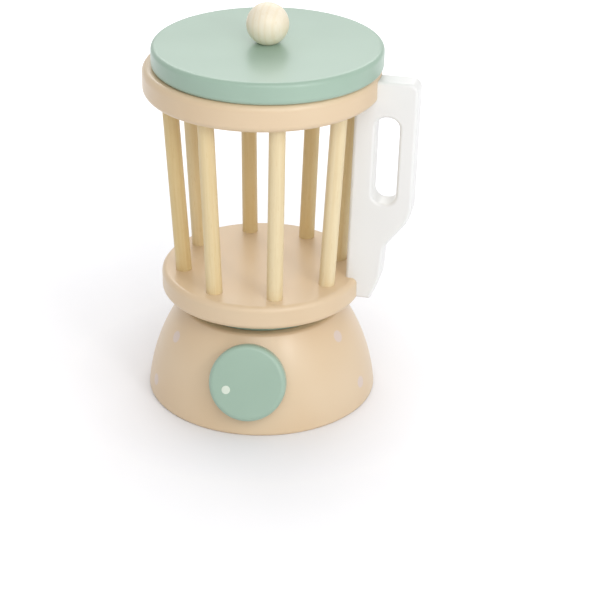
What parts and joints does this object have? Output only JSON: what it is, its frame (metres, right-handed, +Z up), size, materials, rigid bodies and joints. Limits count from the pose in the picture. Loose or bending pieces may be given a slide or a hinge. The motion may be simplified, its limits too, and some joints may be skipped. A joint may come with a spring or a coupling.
{
  "type": "toy blender",
  "caption": "Wooden play blender: turned base with a dial, turntable, open jar of leaning bars with a board handle, and a lift-off lid with a ball knob.",
  "frame": {"origin": "centre of the base's flat underside, on the surface it stands on", "axes": "+Z up; -Y is the front, where the dial faces; the handle points to +X, turned 6.3 degrees towards the front"},
  "size_m": [0.1452, 0.132, 0.2192],
  "materials": {
    "beige_paint": "satin painted",
    "mint_paint": "satin painted",
    "white_paint": "satin painted",
    "natural_wood": "sanded, clear sealed",
    "plywood": "sanded",
    "zinc_steel": "zinc plated"
  },
  "bodies": {
    "base": {"base_shell": "beige_paint", "base_plate": "plywood", "plate_screws": "zinc_steel", "pivot_bolt": "zinc_steel", "pivot_washers": "zinc_steel", "pivot_nut": "zinc_steel"},
    "dial": {"dial": "mint_paint", "dial_axle": "natural_wood", "dial_washer": "zinc_steel", "dial_screw": "zinc_steel"},
    "turntable": {"turntable": "mint_paint", "locating_pegs": "natural_wood"},
    "jar": {"jar_floor": "beige_paint", "jar_rim": "beige_paint", "bar_1": "natural_wood", "bar_2": "natural_wood", "bar_3": "natural_wood", "bar_4": "natural_wood", "bar_5": "natural_wood", "bar_6": "natural_wood", "bar_7": "natural_wood", "bar_8": "natural_wood", "handle": "white_paint", "upper_handle_dowel": "natural_wood", "lower_handle_dowel": "natural_wood"},
    "lid": {"lid_top": "mint_paint", "lid_plug": "plywood", "lid_knob": "natural_wood", "knob_screw": "zinc_steel"}
  },
  "joints": [
    {"name": "dial_turn", "type": "hinge", "parent": "base", "child": "dial", "pos_m": [0, -0.0555, 0.0293], "axis": [0, -0.9269, 0.3754], "continuous": true},
    {"name": "turntable_turn", "type": "hinge", "parent": "base", "child": "turntable", "pos_m": [0, 0, 0.051], "axis": [0, 0, 1], "continuous": true},
    {"name": "jar_lift", "type": "slide", "parent": "turntable", "child": "jar", "axis": [0, 0, 1], "range_m": [0, 0.08]},
    {"name": "lid_lift", "type": "slide", "parent": "jar", "child": "lid", "axis": [0, 0, 1], "range_m": [0, 0.06]}
  ]
}
